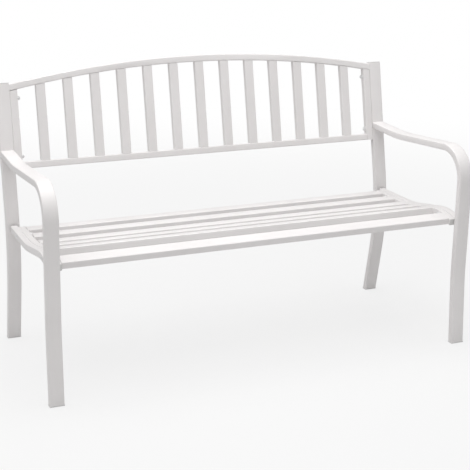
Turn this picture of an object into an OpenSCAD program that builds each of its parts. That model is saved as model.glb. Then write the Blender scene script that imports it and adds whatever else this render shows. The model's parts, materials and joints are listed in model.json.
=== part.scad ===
// Garden bench: two bent-tube side frames with arms, a backrest panel of upright slats
// under an arched top rail, and a contoured seat panel of five slats and a front bar.
// +X is to the right, seen from the front, +Y is to the back and +Z is up. Left and right
// in the names are as seen from the front. The origin is on the ground, in the middle.

/* [Overall] */
// Width over the two side frames
frame_w = 1270; // [1000:10:1600]
// Height of the top of the rear posts
post_h = 779; // [740:1:840]
// How far the middle of the top rail rises over its ends
arch_rise = 57; // [30:1:90]
// Height of the middle of the arms' tube, at the dip
arm_h = 571; // [540:1:600]
// Height of the middle of the seat's tubes, at the back
seat_h = 360.5; // [335:0.5:385]

/* [Tubes] */
// Width of the leg, arm and post tube, across the bench
tube_w = 40; // [32:1:44]
// Thickness of the leg, arm and post tube, seen from the side
tube_t = 20; // [16:1:22]
// Wall of the leg, arm and post tube
tube_wall = 1.2; // [1:0.1:1.8]
// Wall of the lighter tubes of the seat and the backrest
panel_wall = 1; // [0.8:0.1:1.6]
// Radius of a tube's outer corners
corner_r = 3; // [2:0.5:4]

/* [Side frames] */
// Radius of the bend from the front leg to the arm, to the tube's middle
arm_bend_r = 85; // [70:1:100]
// Radius of the knee bend of the rear post, to the tube's middle
knee_r = 670; // [500:10:800]
// Lean of the backrest from upright, in degrees
lean = 10; // [7:0.5:13]
// Rake of the rear leg from upright, in degrees
rake = 13.5; // [11:0.5:16]
// Height of the knee in the rear post
knee_h = 292; // [270:1:310]

/* [Backrest] */
// Width of an upright slat
back_slat_w = 28; // [20:1:34]
// Thickness of an upright slat
back_slat_t = 18; // [14:1:19]
// Width of the panel's two stiles
stile_w = 23; // [20:1:30]
// Height of the rails, and thickness of the rails and stiles
rail_t = 20; // [18:1:22]
// Distance from the ground, up the lean, to the underside of the lower rail
lower_rail_s = 540; // [520:1:560]

/* [Seat] */
// Width of a seat slat, front to back
seat_slat_w = 40; // [34:1:42]
// Open gap between two seat slats
seat_gap = 37; // [30:1:40]
// Side and height of the square tubes along the seat's ends
seat_tube = 20; // [18:1:22]
// How far the side rails stand in from the outer faces of the legs
rail_inset = 11; // [6:1:12]

/* [Fasteners and plastic parts] */
// Diameter of the bolts
bolt_d = 6; // [5:0.5:8]
// Height of the plastic foot below a leg
foot_h = 3; // [2:0.5:5]
// Thickness of the visible head of a post cap
cap_t = 2; // [1.5:0.5:3]

/* [Hidden] */

$fn = 48;
bend_error = 0.03;  // how far the flats of a bend may stand off its true curve
arch_fn = 720;      // facets of a whole circle of the top rail's radius
over = 1;           // how far a cutting shape runs past what it cuts
arch_spare = 1;     // degrees that the top rail's curve runs on before its ends are cut
hole_gap = 0.8;     // how much wider a bolt's hole is than the bolt
thread_gap = 0.1;   // how much wider a nut's bore is than the bolt
plug_gap = 0.2;     // clearance round a plastic plug
cap_plug = 15;      // length of a post cap's plug
foot_plug = 22;     // length of a foot's plug
end_plug_l = 12;    // length of a plug in the end of a seat tube
white_paint = [0.93, 0.93, 0.92];
plug_white = [0.86, 0.86, 0.85];
zinc = [0.62, 0.63, 0.64];

// Side frames, across the bench
frame_out = frame_w / 2;
frame_in = frame_out - tube_w;
rail_out = frame_out - rail_inset;
rail_in = rail_out - seat_tube;
panel_end = rail_in - seat_tube;

// Side frames, seen from the side: Y runs back from the front of the front foot here,
// and in_frame() puts the middle of the whole depth at Y = 0.
below = -30;        // legs start below the ground and are cut off level
foot_y = tube_t / 2;
leg_waist = [foot_y + 5, 212];      // the leg leans back up to here, then forward
waist_r = 900;
arm_front = [-4, arm_h + 24];       // where the lines of the leg and the arm meet
arm_dip = [375, arm_h - 1];         // where the arm's line turns up again
dip_r = 700;
arm_rear_h = arm_h + 9;             // height at which the arm's line meets the post's
post_front_y = 425.4;               // where the leaning post's front face meets the ground
knee = [post_front_y + tube_t / 2 / cos(lean) + knee_h * tan(lean), knee_h];
post_end = [knee[0] + (post_h - knee_h) * tan(lean), post_h];
post_foot = [knee[0] + (knee_h - below) * tan(rake), below];
post_path = [post_foot, knee, post_end];
post_bends = [0, knee_r, 0];
leg_path = [
    [foot_y, below],
    leg_waist,
    arm_front,
    arm_dip,
    [post_end[0], arm_rear_h],
];
leg_bends = [0, waist_r, arm_bend_r, dip_r, 0];

// Seat, seen from the side: it rises to a crest near the front and slopes down to the leg
crest = [90, seat_h + 32];          // where the front slope's line meets the one behind
crest_r = 190;
valley = [289, seat_h];             // where the seat turns level
valley_r = 400;
seat_bends = [0, crest_r, valley_r, 0];
front_slope = 14.3;                 // degrees
end_tube_y = 24;                    // front end of the end tubes, just behind the leg
seat_back_y = 465;                  // back edge of the rear slat, and end of the end tubes
rail_path = [front_slope_at(0), crest, valley, [knee[0] + tube_w, seat_h]];
end_path = [front_slope_at(end_tube_y), crest, valley, [seat_back_y, seat_h]];
slat_pitch = seat_slat_w + seat_gap;
front_bar_y = 47;                   // middle of the front bar
bolt_behind_bar = 14;
front_bolt_y = front_bar_y + seat_slat_w / 2 + bolt_behind_bar;
rear_bolt_y = seat_back_y - seat_slat_w - seat_gap / 2;

// Backrest, in its own leaning plane: Y is 0 on its front face and Z runs up the lean
arch_end_drop = 1;  // the top rail's ends stand this far below the tops of the posts
arch_end_s = post_h / cos(lean) - arch_end_drop;
arch_half_w = frame_in;
arch_r = (arch_half_w * arch_half_w + arch_rise * arch_rise) / (2 * arch_rise);
arch_mid_s = arch_end_s + arch_rise - arch_r;
arch_angle = asin(arch_half_w / arch_r) + arch_spare;
stile_in = frame_in - stile_w;
back_slats = 13;    // as many as there are nodes for them
slat_step = (2 * stile_in + back_slat_w) / (back_slats + 1);
low_bolt = 36.5;    // from the underside of the lower rail
high_bolt = 42;     // from the end of the top rail
back_bolt_s = [lower_rail_s + low_bolt, arch_end_s - high_bolt];

// Fasteners, in the usual proportions to the bolt
hole_d = bolt_d + hole_gap;
head_d = 2 * bolt_d;
head_h = 0.6 * bolt_d;
nut_af = bolt_d * 5 / 3;
nut_h = 0.8 * bolt_d;
washer_t = 1.5;
tail = 2;           // thread that stands out of a nut

// Depth of the whole bench, from the front bend to the back of the top rail's middle
depth_front = bend_centre(leg_path, leg_bends, 2)[0] - arm_bend_r - tube_t / 2;
depth_back = post_front_y + (arch_end_s + arch_rise) * sin(lean) + rail_t * cos(lean);
depth_mid = (depth_front + depth_back) / 2;

// --- Paths ------------------------------------------------------------------------
// A path is a list of [y, z] corners with a bend radius for each, to the tube's middle.

// Direction of the stretch after corner i, and the turn at corner i
function heading(p, i) = atan2(p[i + 1][1] - p[i][1], p[i + 1][0] - p[i][0]);
function along(p, i) = [cos(heading(p, i)), sin(heading(p, i))];
function turn(p, i) = heading(p, i) - heading(p, i - 1);
function side_of(p, i) = turn(p, i) > 0 ? 1 : -1;
function to_left(h) = [-sin(h), cos(h)];
function steps(p, r, i) = ceil(abs(turn(p, i)) / (2 * acos(1 - bend_error / r[i])));
function bend_start(p, r, i) = p[i] - along(p, i - 1) * r[i] * tan(abs(turn(p, i)) / 2);
function bend_end(p, r, i) = p[i] + along(p, i) * r[i] * tan(abs(turn(p, i)) / 2);
function bend_centre(p, r, i) = bend_start(p, r, i) + side_of(p, i) * r[i] * to_left(heading(p, i - 1));

// Points of a bend, at a distance to the left of the tube's middle
function bend_points(p, r, i, off) = [
    for (k = [0 : steps(p, r, i)])
        let (h = heading(p, i - 1) + turn(p, i) * k / steps(p, r, i))
        bend_centre(p, r, i) + (off - side_of(p, i) * r[i]) * to_left(h)
];

// One edge of a tube, its ends carried on by past
function edge(p, r, off, past) = let (last = len(p) - 1) concat(
    [p[0] - along(p, 0) * past + off * to_left(heading(p, 0))],
    [for (i = [1 : last - 1]) each bend_points(p, r, i, off)],
    [p[last] + along(p, last - 1) * past + off * to_left(heading(p, last - 1))]
);

function reversed(list) = [for (i = [len(list) - 1 : -1 : 0]) list[i]];

// Start of the seat's line at y, on its front slope
function front_slope_at(y) = [y, crest[1] - (crest[0] - y) * tan(front_slope)];

// Bend, if any, and straight stretch of a path that y falls on
function on_bend(p, r, y) = [
    for (i = [1 : len(p) - 2])
        if (y > bend_start(p, r, i)[0] && y < bend_end(p, r, i)[0]) i
];
function on_stretch(p, y) = max([for (i = [0 : len(p) - 2]) if (i == 0 || y > p[i][0]) i]);

// Slope and height of a path's middle line at y
function bend_slope(p, r, i, y) = asin(side_of(p, i) * (y - bend_centre(p, r, i)[0]) / r[i]);
function slope_at(p, r, y) = let (b = on_bend(p, r, y))
    len(b) > 0 ? bend_slope(p, r, b[0], y) : heading(p, on_stretch(p, y));
function height_at(p, r, y) = let (b = on_bend(p, r, y), i = on_stretch(p, y))
    len(b) > 0
        ? bend_centre(p, r, b[0])[1] - side_of(p, b[0]) * r[b[0]] * cos(bend_slope(p, r, b[0], y))
        : p[i][1] + (y - p[i][0]) * tan(heading(p, i));

// --- Shared shapes ----------------------------------------------------------------

module in_frame() {
    translate([0, -depth_mid, 0]) children();
}

// Copies a right-hand part (at +X) to the wanted side
module on_side(side) {
    if (side > 0) children();
    else mirror([1, 0, 0]) children();
}

// Bar t thick along a path in the side plane, and w wide with its outer face at x_out
module side_bar(p, r, t, w, x_out, past = 0) {
    translate([x_out - w, 0, 0]) rotate([90, 0, 90]) linear_extrude(w)
        polygon(concat(edge(p, r, t / 2, past), reversed(edge(p, r, -t / 2, past))));
}

// Tube along a path: the bar less its bore
module side_tube(p, r, t, w, x_out, wall) {
    difference() {
        side_bar(p, r, t, w, x_out);
        side_bar(p, r, t - 2 * wall, w - 2 * wall, x_out - wall, over);
    }
}

module post_bar(shrink = 0) {
    side_bar(post_path, post_bends, tube_t - 2 * shrink, tube_w - 2 * shrink, frame_out - shrink);
}

module leg_bar(shrink = 0) {
    side_bar(leg_path, leg_bends, tube_t - 2 * shrink, tube_w - 2 * shrink, frame_out - shrink);
}

// Rectangle with rounded corners, centred
module round_rect(a, b, r) {
    square([a - 2 * r, b], center = true);
    square([a, b - 2 * r], center = true);
    for (x = [-1, 1], y = [-1, 1])
        translate([x * (a / 2 - r), y * (b / 2 - r)]) circle(r = r);
}

// Straight square-cut tube along Z
module straight_tube(a, b, h) {
    linear_extrude(h) difference() {
        round_rect(a, b, corner_r);
        round_rect(a - 2 * panel_wall, b - 2 * panel_wall, corner_r - panel_wall);
    }
}

// Everything below height z, as a cutter
module below_level(z) {
    translate([-frame_w, -frame_w, -frame_w]) cube([2 * frame_w, 2 * frame_w, frame_w + z]);
}

module back_plane() {
    translate([0, post_front_y, 0]) rotate([-lean, 0, 0]) children();
}

// Cylinder along X between two distances from the middle
module x_rod(d, x1, x2) {
    translate([x1, 0, 0]) rotate([0, 90, 0]) cylinder(d = d, h = x2 - x1);
}

// Puts a part at each bolt, right-hand side
module at_back_bolts() {
    back_plane() for (s = back_bolt_s) translate([0, rail_t / 2, s]) children();
}

module at_seat_bolts() {
    for (y = [front_bolt_y, rear_bolt_y])
        translate([0, y, height_at(rail_path, seat_bends, y)]) children();
}

// --- Side frames ------------------------------------------------------------------

module rear_post(side) {
    color(white_paint) in_frame() on_side(side) difference() {
        side_tube(post_path, post_bends, tube_t, tube_w, frame_out, tube_wall);
        below_level(foot_h);
        at_back_bolts() x_rod(hole_d, frame_in - over, frame_out + over);
    }
}

module arm_and_front_leg(side) {
    color(white_paint) in_frame() on_side(side) difference() {
        side_tube(leg_path, leg_bends, tube_t, tube_w, frame_out, tube_wall);
        below_level(foot_h);
        back_plane() translate([frame_in - over, 0, knee_h])
            cube([tube_w + 2 * over, post_h, post_h]);
    }
}

module seat_side_rail(side) {
    color(white_paint) in_frame() on_side(side) difference() {
        side_tube(rail_path, seat_bends, seat_tube, seat_tube, rail_out, panel_wall);
        post_bar();
        translate([rail_in - over, knee[0], 0]) cube([tube_w, tube_w * 2, post_h]);
        leg_bar();
        translate([rail_in - over, -tube_w, 0]) cube([tube_w, tube_w + leg_waist[0], post_h]);
        at_seat_bolts() x_rod(hole_d, rail_in - over, rail_out + over);
    }
}

module post_cap(side) {
    color(plug_white) in_frame() on_side(side)
        translate([frame_in + tube_w / 2, post_end[0], post_end[1]]) rotate([-lean, 0, 0]) {
            linear_extrude(cap_t) round_rect(tube_w, tube_t, corner_r);
            inner_t = tube_t - 2 * tube_wall - 2 * plug_gap;
            inner_w = tube_w - 2 * tube_wall - 2 * plug_gap;
            translate([0, 0, -cap_plug]) linear_extrude(cap_plug)
                round_rect(inner_w, inner_t, corner_r - tube_wall);
        }
}

// Plastic foot: a sole as wide as the leg, and a plug up inside it
module foot(side) {
    color(plug_white) in_frame() on_side(side) {
        intersection() {
            children(0);
            slab(0, foot_h);
        }
        intersection() {
            children(1);
            slab(foot_h, foot_h + foot_plug);
        }
    }
}

module slab(z1, z2) {
    translate([0, -frame_w, z1]) cube([frame_w, 2 * frame_w, z2 - z1]);
}

module foot_front(side) {
    foot(side) {
        leg_bar();
        leg_bar(tube_wall + plug_gap);
    }
}

module foot_rear(side) {
    foot(side) {
        post_bar();
        post_bar(tube_wall + plug_gap);
    }
}

// --- Backrest panel ---------------------------------------------------------------

// Arched bar in the leaning plane
module arch_bar(shrink = 0) {
    t = rail_t - 2 * shrink;
    translate([0, rail_t / 2, arch_mid_s]) rotate([-90, 0, 0]) rotate([0, 0, -90 - arch_angle])
        rotate_extrude(angle = 2 * arch_angle, $fn = arch_fn)
            translate([arch_r - rail_t / 2, 0]) round_rect(t, t, corner_r - shrink);
}

// What lies between the post's inner faces, under the top rail
module under_arch() {
    translate([0, -over, arch_mid_s]) rotate([-90, 0, 0])
        cylinder(r = arch_r - rail_t, h = rail_t + 2 * over, $fn = arch_fn);
}

module back_top_rail() {
    color(white_paint) in_frame() back_plane() intersection() {
        difference() {
            arch_bar();
            arch_bar(panel_wall);
        }
        translate([-frame_in, -over, lower_rail_s])
            cube([2 * frame_in, rail_t + 2 * over, post_h]);
    }
}

module back_lower_rail() {
    color(white_paint) in_frame() back_plane()
        translate([-stile_in, rail_t / 2, lower_rail_s + rail_t / 2]) rotate([90, 0, 90])
            straight_tube(rail_t, rail_t, 2 * stile_in);
}

module back_stile(side) {
    color(white_paint) in_frame() on_side(side) difference() {
        back_plane() intersection() {
            translate([frame_in - stile_w / 2, rail_t / 2, lower_rail_s])
                straight_tube(stile_w, rail_t, post_h);
            under_arch();
        }
        at_back_bolts() x_rod(hole_d, stile_in - over, frame_in + over);
    }
}

module back_slat(k) {
    x = (k - (back_slats + 1) / 2) * slat_step;
    color(white_paint) in_frame() back_plane() intersection() {
        translate([x, rail_t / 2, lower_rail_s + rail_t])
            straight_tube(back_slat_w, back_slat_t, post_h);
        under_arch();
    }
}

// --- Seat panel -------------------------------------------------------------------

// Puts a tube's cross-section, front to back along X, on the seat line at y
module on_seat(y) {
    translate([0, y, height_at(rail_path, seat_bends, y)])
        rotate([slope_at(rail_path, seat_bends, y), 0, 0]) children();
}

module cross_tube() {
    translate([-panel_end, 0, 0]) rotate([90, 0, 90])
        straight_tube(seat_slat_w, seat_tube, 2 * panel_end);
}

module seat_slat(k) {
    color(white_paint) in_frame()
        on_seat(seat_back_y - seat_slat_w / 2 - (k - 1) * slat_pitch) cross_tube();
}

module seat_front_bar() {
    color(white_paint) in_frame() on_seat(front_bar_y) cross_tube();
}

module seat_end_tube(side) {
    color(white_paint) in_frame() on_side(side) difference() {
        side_tube(end_path, seat_bends, seat_tube, seat_tube, rail_in, panel_wall);
        at_seat_bolts() x_rod(hole_d, panel_end - over, rail_in + over);
    }
}

// Plug in the end of a seat tube: its stem runs in along -Y and its head stands out along +Y
module end_plug() {
    inner = seat_tube - 2 * panel_wall - 2 * plug_gap;
    rotate([90, 0, 0]) {
        linear_extrude(end_plug_l) round_rect(inner, inner, corner_r - panel_wall);
        translate([0, 0, -cap_t]) linear_extrude(cap_t) round_rect(seat_tube, seat_tube, corner_r);
    }
}

module seat_end_plugs() {
    color(plug_white) in_frame() for (side = [-1, 1]) on_side(side)
        translate([rail_in - seat_tube / 2, 0, 0]) {
            translate([0, seat_back_y, seat_h]) end_plug();
            translate([0, end_path[0][0], end_path[0][1]])
                rotate([front_slope, 0, 0]) mirror([0, 1, 0]) end_plug();
        }
}

// --- Fasteners --------------------------------------------------------------------

// Bolt with a domed head, from its head's seat at x_out to its nut's seat at x_in
module bolt(x_out, x_in) {
    x_rod(bolt_d, x_in - washer_t - nut_h - tail, x_out);
    dome_r = (head_d * head_d / 4 + head_h * head_h) / (2 * head_h);
    intersection() {
        translate([x_out + head_h - dome_r, 0, 0]) sphere(r = dome_r);
        x_rod(head_d, x_out, x_out + head_h);
    }
}

module washer(x_in) {
    difference() {
        x_rod(head_d, x_in - washer_t, x_in);
        x_rod(hole_d, x_in - washer_t - over, x_in + over);
    }
}

module nut(x_in) {
    translate([x_in - washer_t - nut_h, 0, 0]) rotate([0, 90, 0]) difference() {
        cylinder(d = nut_af / cos(30), h = nut_h, $fn = 6);
        translate([0, 0, -over]) cylinder(d = bolt_d + thread_gap, h = nut_h + 2 * over);
    }
}

module back_bolts() {
    color(zinc) in_frame() for (side = [-1, 1]) on_side(side)
        at_back_bolts() bolt(frame_out, stile_in);
}

module back_washers() {
    color(zinc) in_frame() for (side = [-1, 1]) on_side(side) at_back_bolts() washer(stile_in);
}

module back_nuts() {
    color(zinc) in_frame() for (side = [-1, 1]) on_side(side) at_back_bolts() nut(stile_in);
}

module seat_bolts() {
    color(zinc) in_frame() for (side = [-1, 1]) on_side(side)
        at_seat_bolts() bolt(rail_out, panel_end);
}

module seat_washers() {
    color(zinc) in_frame() for (side = [-1, 1]) on_side(side) at_seat_bolts() washer(panel_end);
}

module seat_nuts() {
    color(zinc) in_frame() for (side = [-1, 1]) on_side(side) at_seat_bolts() nut(panel_end);
}

rear_post(-1);  // rear_post_left
rear_post(1);  // rear_post_right
arm_and_front_leg(-1);  // arm_and_front_leg_left
arm_and_front_leg(1);  // arm_and_front_leg_right
seat_side_rail(-1);  // seat_side_rail_left
seat_side_rail(1);  // seat_side_rail_right
post_cap(-1);  // post_cap_left
post_cap(1);  // post_cap_right
foot_front(-1);  // foot_front_left
foot_front(1);  // foot_front_right
foot_rear(-1);  // foot_rear_left
foot_rear(1);  // foot_rear_right
back_top_rail();
back_lower_rail();
back_stile(-1);  // back_stile_left
back_stile(1);  // back_stile_right
back_slat(1);  // back_slat_01
back_slat(2);  // back_slat_02
back_slat(3);  // back_slat_03
back_slat(4);  // back_slat_04
back_slat(5);  // back_slat_05
back_slat(6);  // back_slat_06
back_slat(7);  // back_slat_07
back_slat(8);  // back_slat_08
back_slat(9);  // back_slat_09
back_slat(10);  // back_slat_10
back_slat(11);  // back_slat_11
back_slat(12);  // back_slat_12
back_slat(13);  // back_slat_13
seat_end_tube(-1);  // seat_end_tube_left
seat_end_tube(1);  // seat_end_tube_right
seat_front_bar();
seat_slat(1);  // seat_slat_1
seat_slat(2);  // seat_slat_2
seat_slat(3);  // seat_slat_3
seat_slat(4);  // seat_slat_4
seat_slat(5);  // seat_slat_5
seat_end_plugs();
back_bolts();
back_washers();
back_nuts();
seat_bolts();
seat_washers();
seat_nuts();
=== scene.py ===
"""Garden bench: paint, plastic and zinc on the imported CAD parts, with a pale studio round them."""
import json
import math

import bpy
from mathutils import Euler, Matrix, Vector


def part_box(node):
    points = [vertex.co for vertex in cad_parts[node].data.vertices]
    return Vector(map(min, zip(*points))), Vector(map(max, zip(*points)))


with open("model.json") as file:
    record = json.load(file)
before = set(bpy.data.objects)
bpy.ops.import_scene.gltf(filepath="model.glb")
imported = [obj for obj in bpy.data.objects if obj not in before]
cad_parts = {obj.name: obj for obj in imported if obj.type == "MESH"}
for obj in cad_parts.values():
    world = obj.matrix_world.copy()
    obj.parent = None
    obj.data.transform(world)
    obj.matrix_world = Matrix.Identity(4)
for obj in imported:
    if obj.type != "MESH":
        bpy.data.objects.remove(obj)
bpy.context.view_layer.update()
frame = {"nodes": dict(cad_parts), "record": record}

# --- Camera, in metres and degrees, in the bench's frame -------------------------------------
CAMERA_AT = (-1.265, -3.144, 1.304)
CAMERA_YAW = 22.05        # how far the camera looks round to the right of straight back
CAMERA_PITCH = 13.33      # how far it looks down
SENSOR = 36.0
LENS = 90.25
SHIFT = -0.12             # of the lens, as a part of the picture's height

# --- Light ------------------------------------------------------------------------------------
WORLD_GREY = 0.44
OVERHEAD_AT = (-0.6, -0.3, 5.0)
OVERHEAD_SIZE = (6.0, 6.0)
OVERHEAD_POWER = 208.0
SOFTBOX_AT = (0.0, -0.15, 2.4)
SOFTBOX_SIZE = (2.2, 1.0)
SOFTBOX_POWER = 9.0
FLOOR_GREY = 0.72
FLOOR_SIZE = 60.0
FLOOR_GLOW_FADE = (1.0, 4.0)   # how near and how far from the bench the painted white glow rises until the floor is full white
FLOOR_GLOW_UNDER_BENCH = 0.70         # share of painted white glow the floor already has under the bench, which pales the bench's shadow there

# --- Tube corners -----------------------------------------------------------------------------
CORNER = 0.0028           # radius of the bent tubes' long corners
CORNER_STEPS = 3
END_ZONE = 0.006          # corners this near a tube's end belong to its cut face
RIM_EDGE = 0.0025         # longest piece of a bolt hole's rim
CORNER_TURN = math.radians(60)  # edges that turn more than this are a tube's corners
SHARP = math.radians(35)        # edges that turn more than this stay crisp
MERGE = 1e-5                    # vertices nearer than this are one

# The bent tubes, and the axis or form along which their ends are told from their length
BENT_TUBES = {
    "rear_post_left": "z",
    "rear_post_right": "z",
    "arm_and_front_leg_left": "leg",
    "arm_and_front_leg_right": "leg",
    "seat_side_rail_left": "y",
    "seat_side_rail_right": "y",
    "seat_end_tube_left": "y",
    "seat_end_tube_right": "y",
}


# --- Materials --------------------------------------------------------------------------------

def new_material(name):
    """A node material with its Principled shader and its node tree."""
    material = bpy.data.materials.new(name)
    material.use_nodes = True
    shader = material.node_tree.nodes["Principled BSDF"]
    return material, shader, material.node_tree


def noise(tree, scale, detail, roughness=0.5):
    """Noise over the object's own coordinates, in metres."""
    place = tree.nodes.new("ShaderNodeTexCoord")
    texture = tree.nodes.new("ShaderNodeTexNoise")
    texture.inputs["Scale"].default_value = scale
    texture.inputs["Detail"].default_value = detail
    texture.inputs["Roughness"].default_value = roughness
    tree.links.new(place.outputs["Object"], texture.inputs["Vector"])
    return texture.outputs["Fac"]


def ramp(tree, value, low, high, start=0.3, end=0.7):
    """Colours or greys from low to high as value goes from start to end."""
    node = tree.nodes.new("ShaderNodeValToRGB")
    node.color_ramp.elements[0].position = start
    node.color_ramp.elements[0].color = low
    node.color_ramp.elements[1].position = end
    node.color_ramp.elements[1].color = high
    tree.links.new(value, node.inputs["Fac"])
    return node.outputs["Color"]


def grey(level):
    return (level, level, level, 1.0)


def bump(tree, shader, height, distance, strength):
    node = tree.nodes.new("ShaderNodeBump")
    node.inputs["Distance"].default_value = distance
    node.inputs["Strength"].default_value = strength
    tree.links.new(height, node.inputs["Height"])
    tree.links.new(node.outputs["Normal"], shader.inputs["Normal"])


def powder_coat():
    """Gloss white powder coat: a fine orange peel and a very faint unevenness of tone."""
    material, shader, tree = new_material("white_powder_coat")
    tone = ramp(tree, noise(tree, 5.0, 3.0), (0.815, 0.792, 0.786, 1), (0.855, 0.832, 0.828, 1))
    tree.links.new(tone, shader.inputs["Base Color"])
    gloss = ramp(tree, noise(tree, 40.0, 4.0), grey(0.34), grey(0.42))
    tree.links.new(gloss, shader.inputs["Roughness"])
    bump(tree, shader, noise(tree, 380.0, 1.0), 0.00001, 1.0)
    return material


def moulded_plastic():
    material, shader, tree = new_material("white_moulded_plastic")
    tone = ramp(tree, noise(tree, 30.0, 3.0), (0.70, 0.695, 0.685, 1), (0.75, 0.745, 0.735, 1))
    tree.links.new(tone, shader.inputs["Base Color"])
    gloss = ramp(tree, noise(tree, 900.0, 2.0), grey(0.42), grey(0.56))
    tree.links.new(gloss, shader.inputs["Roughness"])
    bump(tree, shader, noise(tree, 1500.0, 1.0), 0.000004, 1.0)
    return material


def zinc_plate():
    material, shader, tree = new_material("zinc_plate")
    shader.inputs["Metallic"].default_value = 0.7
    tone = ramp(tree, noise(tree, 400.0, 3.0), (0.82, 0.82, 0.82, 1), (0.90, 0.90, 0.90, 1))
    tree.links.new(tone, shader.inputs["Base Color"])
    gloss = ramp(tree, noise(tree, 1200.0, 3.0), grey(0.36), grey(0.54))
    tree.links.new(gloss, shader.inputs["Roughness"])
    return material


# --- Modifiers on the CAD parts ---------------------------------------------------------------

def geometry_group(name):
    """An empty geometry node group, with its input and its output."""
    group = bpy.data.node_groups.new(name, "GeometryNodeTree")
    group.interface.new_socket("Geometry", in_out="INPUT", socket_type="NodeSocketGeometry")
    group.interface.new_socket("Geometry", in_out="OUTPUT", socket_type="NodeSocketGeometry")
    return group, group.nodes.new("NodeGroupInput"), group.nodes.new("NodeGroupOutput")


def compare(group, value, operation, limit):
    node = group.nodes.new("FunctionNodeCompare")
    node.data_type = "FLOAT"
    node.operation = operation
    group.links.new(value, node.inputs["A"])
    node.inputs["B"].default_value = limit
    return node.outputs["Result"]


def both(group, first, second):
    node = group.nodes.new("FunctionNodeBooleanMath")
    node.operation = "AND"
    group.links.new(first, node.inputs[0])
    group.links.new(second, node.inputs[1])
    return node.outputs[0]


def edge_length(group):
    ends = group.nodes.new("GeometryNodeInputMeshEdgeVertices")
    length = group.nodes.new("ShaderNodeVectorMath")
    length.operation = "DISTANCE"
    group.links.new(ends.outputs["Position 1"], length.inputs[0])
    group.links.new(ends.outputs["Position 2"], length.inputs[1])
    return length.outputs["Value"]


def join_faces(group, start):
    """Faces that meet share their vertices again."""
    merge = group.nodes.new("GeometryNodeMergeByDistance")
    merge.inputs["Distance"].default_value = MERGE
    group.links.new(start.outputs[0], merge.inputs["Geometry"])
    return merge.outputs[0]


def mark_corners(name, limits):
    """Joins the mesh's faces and marks its convex long corners, but not the rims of bolt holes.

    limits is a list of (axis letter, comparison, value) that an edge's middle has to meet.
    """
    group, start, end = geometry_group("corners_" + name)
    joined = join_faces(group, start)
    angle = group.nodes.new("GeometryNodeInputMeshEdgeAngle")
    chosen = compare(group, angle.outputs["Signed Angle"], "GREATER_THAN", CORNER_TURN)
    position = group.nodes.new("GeometryNodeInputPosition")
    split = group.nodes.new("ShaderNodeSeparateXYZ")
    group.links.new(position.outputs[0], split.inputs[0])
    for axis, operation, value in limits:
        inside = compare(group, split.outputs[axis], operation, value)
        chosen = both(group, chosen, inside)
    long_enough = compare(group, edge_length(group), "GREATER_THAN", RIM_EDGE)
    chosen = both(group, chosen, long_enough)
    store = group.nodes.new("GeometryNodeStoreNamedAttribute")
    store.data_type = "FLOAT"
    store.domain = "EDGE"
    store.inputs["Name"].default_value = "bevel_weight_edge"
    group.links.new(joined, store.inputs["Geometry"])
    group.links.new(chosen, store.inputs["Value"])
    group.links.new(store.outputs[0], end.inputs[0])
    return group


def smooth_shading():
    """Smooth shading, but for edges that turn more than SHARP."""
    group, start, end = geometry_group("smooth_by_angle")
    joined = join_faces(group, start)
    angle = group.nodes.new("GeometryNodeInputMeshEdgeAngle")
    crisp = compare(group, angle.outputs["Unsigned Angle"], "GREATER_THAN", SHARP)
    normal = group.nodes.new("GeometryNodeSetMeshNormal")
    normal.mode = "SHARPNESS"
    normal.inputs["Remove Custom"].default_value = True
    normal.inputs["Face Sharpness"].default_value = False
    group.links.new(joined, normal.inputs["Mesh"])
    group.links.new(crisp, normal.inputs["Edge Sharpness"])
    group.links.new(normal.outputs[0], end.inputs[0])
    return group


def add_group(obj, group):
    modifier = obj.modifiers.new(group.name, "NODES")
    modifier.node_group = group


def round_corners(obj, form):
    """Rounds a bent tube's four long corners, and leaves the rims of its ends alone."""
    low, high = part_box(obj.name)
    if form == "z":
        limits = [("Z", "GREATER_THAN", low.z + END_ZONE), ("Z", "LESS_THAN", high.z - END_ZONE)]
    elif form == "y":
        limits = [("Y", "GREATER_THAN", low.y + END_ZONE), ("Y", "LESS_THAN", high.y - END_ZONE)]
    else:
        limits = [("Z", "GREATER_THAN", low.z + END_ZONE), ("Y", "LESS_THAN", high.y - END_ZONE)]
    add_group(obj, mark_corners(obj.name, limits))
    bevel = obj.modifiers.new("rounded_corners", "BEVEL")
    bevel.limit_method = "WEIGHT"
    bevel.width = CORNER
    bevel.segments = CORNER_STEPS
    bevel.use_clamp_overlap = False


def dress_cad_parts():
    looks = {
        "white_paint": powder_coat(),
        "white_plastic": moulded_plastic(),
        "fasteners": zinc_plate(),
    }
    slots = {part["node"]: part["material_slot"] for part in frame["record"]["subparts"]}
    shading = smooth_shading()
    for name, obj in frame["nodes"].items():
        obj.data.materials.clear()
        obj.data.materials.append(looks[slots[name]])
        if name in BENT_TUBES:
            round_corners(obj, BENT_TUBES[name])
        add_group(obj, shading)


# --- Studio -----------------------------------------------------------------------------------

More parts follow.
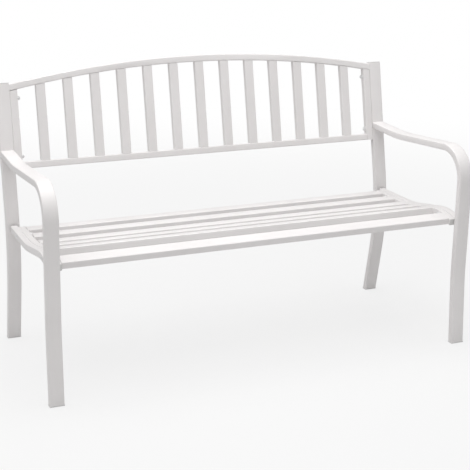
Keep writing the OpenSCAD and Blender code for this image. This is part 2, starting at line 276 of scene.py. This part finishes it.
def make_floor():
    """A pale floor under a painted white glow, seen only by the camera, that pales the bench's
    shadow and rises to the white of the backdrop some way from the bench.
    """
    bpy.ops.mesh.primitive_plane_add(size=FLOOR_SIZE)
    floor = bpy.context.object
    floor.name = "studio_floor"
    material, shader, tree = new_material("studio_floor")
    shader.inputs["Base Color"].default_value = grey(FLOOR_GREY)
    shader.inputs["Roughness"].default_value = 0.9
    shader.inputs["Specular IOR Level"].default_value = 0.1
    place = tree.nodes.new("ShaderNodeTexCoord")
    distance = tree.nodes.new("ShaderNodeVectorMath")
    distance.operation = "LENGTH"
    tree.links.new(place.outputs["Object"], distance.inputs[0])
    fade = tree.nodes.new("ShaderNodeMapRange")
    fade.interpolation_type = "SMOOTHSTEP"
    fade.inputs["From Min"].default_value, fade.inputs["From Max"].default_value = FLOOR_GLOW_FADE
    fade.inputs["To Min"].default_value = FLOOR_GLOW_UNDER_BENCH
    tree.links.new(distance.outputs["Value"], fade.inputs["Value"])
    # painted glow: white emission, seen only by camera rays, mixed over the lit floor to wash out
    # the bench's shadow
    white = tree.nodes.new("ShaderNodeEmission")
    mix = tree.nodes.new("ShaderNodeMixShader")
    tree.links.new(seen_by_camera(tree, fade.outputs["Result"]), mix.inputs["Fac"])
    tree.links.new(shader.outputs[0], mix.inputs[1])
    tree.links.new(white.outputs[0], mix.inputs[2])
    tree.links.new(mix.outputs[0], tree.nodes["Material Output"].inputs["Surface"])
    floor.data.materials.append(material)


def seen_by_camera(tree, value):
    """The value for what is seen straight on, and 0 for the light that a surface throws back."""
    path = tree.nodes.new("ShaderNodeLightPath")
    product = tree.nodes.new("ShaderNodeMath")
    product.operation = "MULTIPLY"
    tree.links.new(path.outputs["Is Camera Ray"], product.inputs[0])
    tree.links.new(value, product.inputs[1])
    return product.outputs["Value"]


def make_area_light(name, place, size, power, aim=(0.0, 0.0, 0.3)):
    data = bpy.data.lights.new(name, "AREA")
    data.shape = "RECTANGLE"
    data.size, data.size_y = size
    data.energy = power
    light = bpy.data.objects.new(name, data)
    light.location = place
    direction = light.location - Vector(aim)
    light.rotation_euler = direction.to_track_quat("Z", "Y").to_euler()
    bpy.context.collection.objects.link(light)


def make_lights():
    world = bpy.data.worlds.new("studio")
    world.use_nodes = True
    tree = world.node_tree
    tree.nodes["Background"].inputs["Color"].default_value = grey(WORLD_GREY)
    backdrop = tree.nodes.new("ShaderNodeBackground")
    backdrop.inputs["Color"].default_value = grey(1.0)
    seen = tree.nodes.new("ShaderNodeLightPath")
    mix = tree.nodes.new("ShaderNodeMixShader")
    tree.links.new(seen.outputs["Is Camera Ray"], mix.inputs["Fac"])
    tree.links.new(tree.nodes["Background"].outputs[0], mix.inputs[1])
    tree.links.new(backdrop.outputs[0], mix.inputs[2])
    tree.links.new(mix.outputs[0], tree.nodes["World Output"].inputs["Surface"])
    bpy.context.scene.world = world
    make_area_light("overhead", OVERHEAD_AT, OVERHEAD_SIZE, OVERHEAD_POWER)
    make_area_light("softbox", SOFTBOX_AT, SOFTBOX_SIZE, SOFTBOX_POWER, SOFTBOX_AT[:2] + (0.0,))


def make_camera():
    data = bpy.data.cameras.new("camera")
    data.sensor_width = SENSOR
    data.lens = LENS
    data.shift_y = SHIFT
    camera = bpy.data.objects.new("camera", data)
    camera.location = CAMERA_AT
    turn = Euler((math.radians(90 - CAMERA_PITCH), 0, math.radians(-CAMERA_YAW)))
    camera.rotation_euler = turn
    bpy.context.collection.objects.link(camera)
    bpy.context.scene.camera = camera


make_camera()
make_lights()
make_floor()
dress_cad_parts()
bpy.context.scene.view_settings.view_transform = "Standard"

bpy.context.view_layer.update()
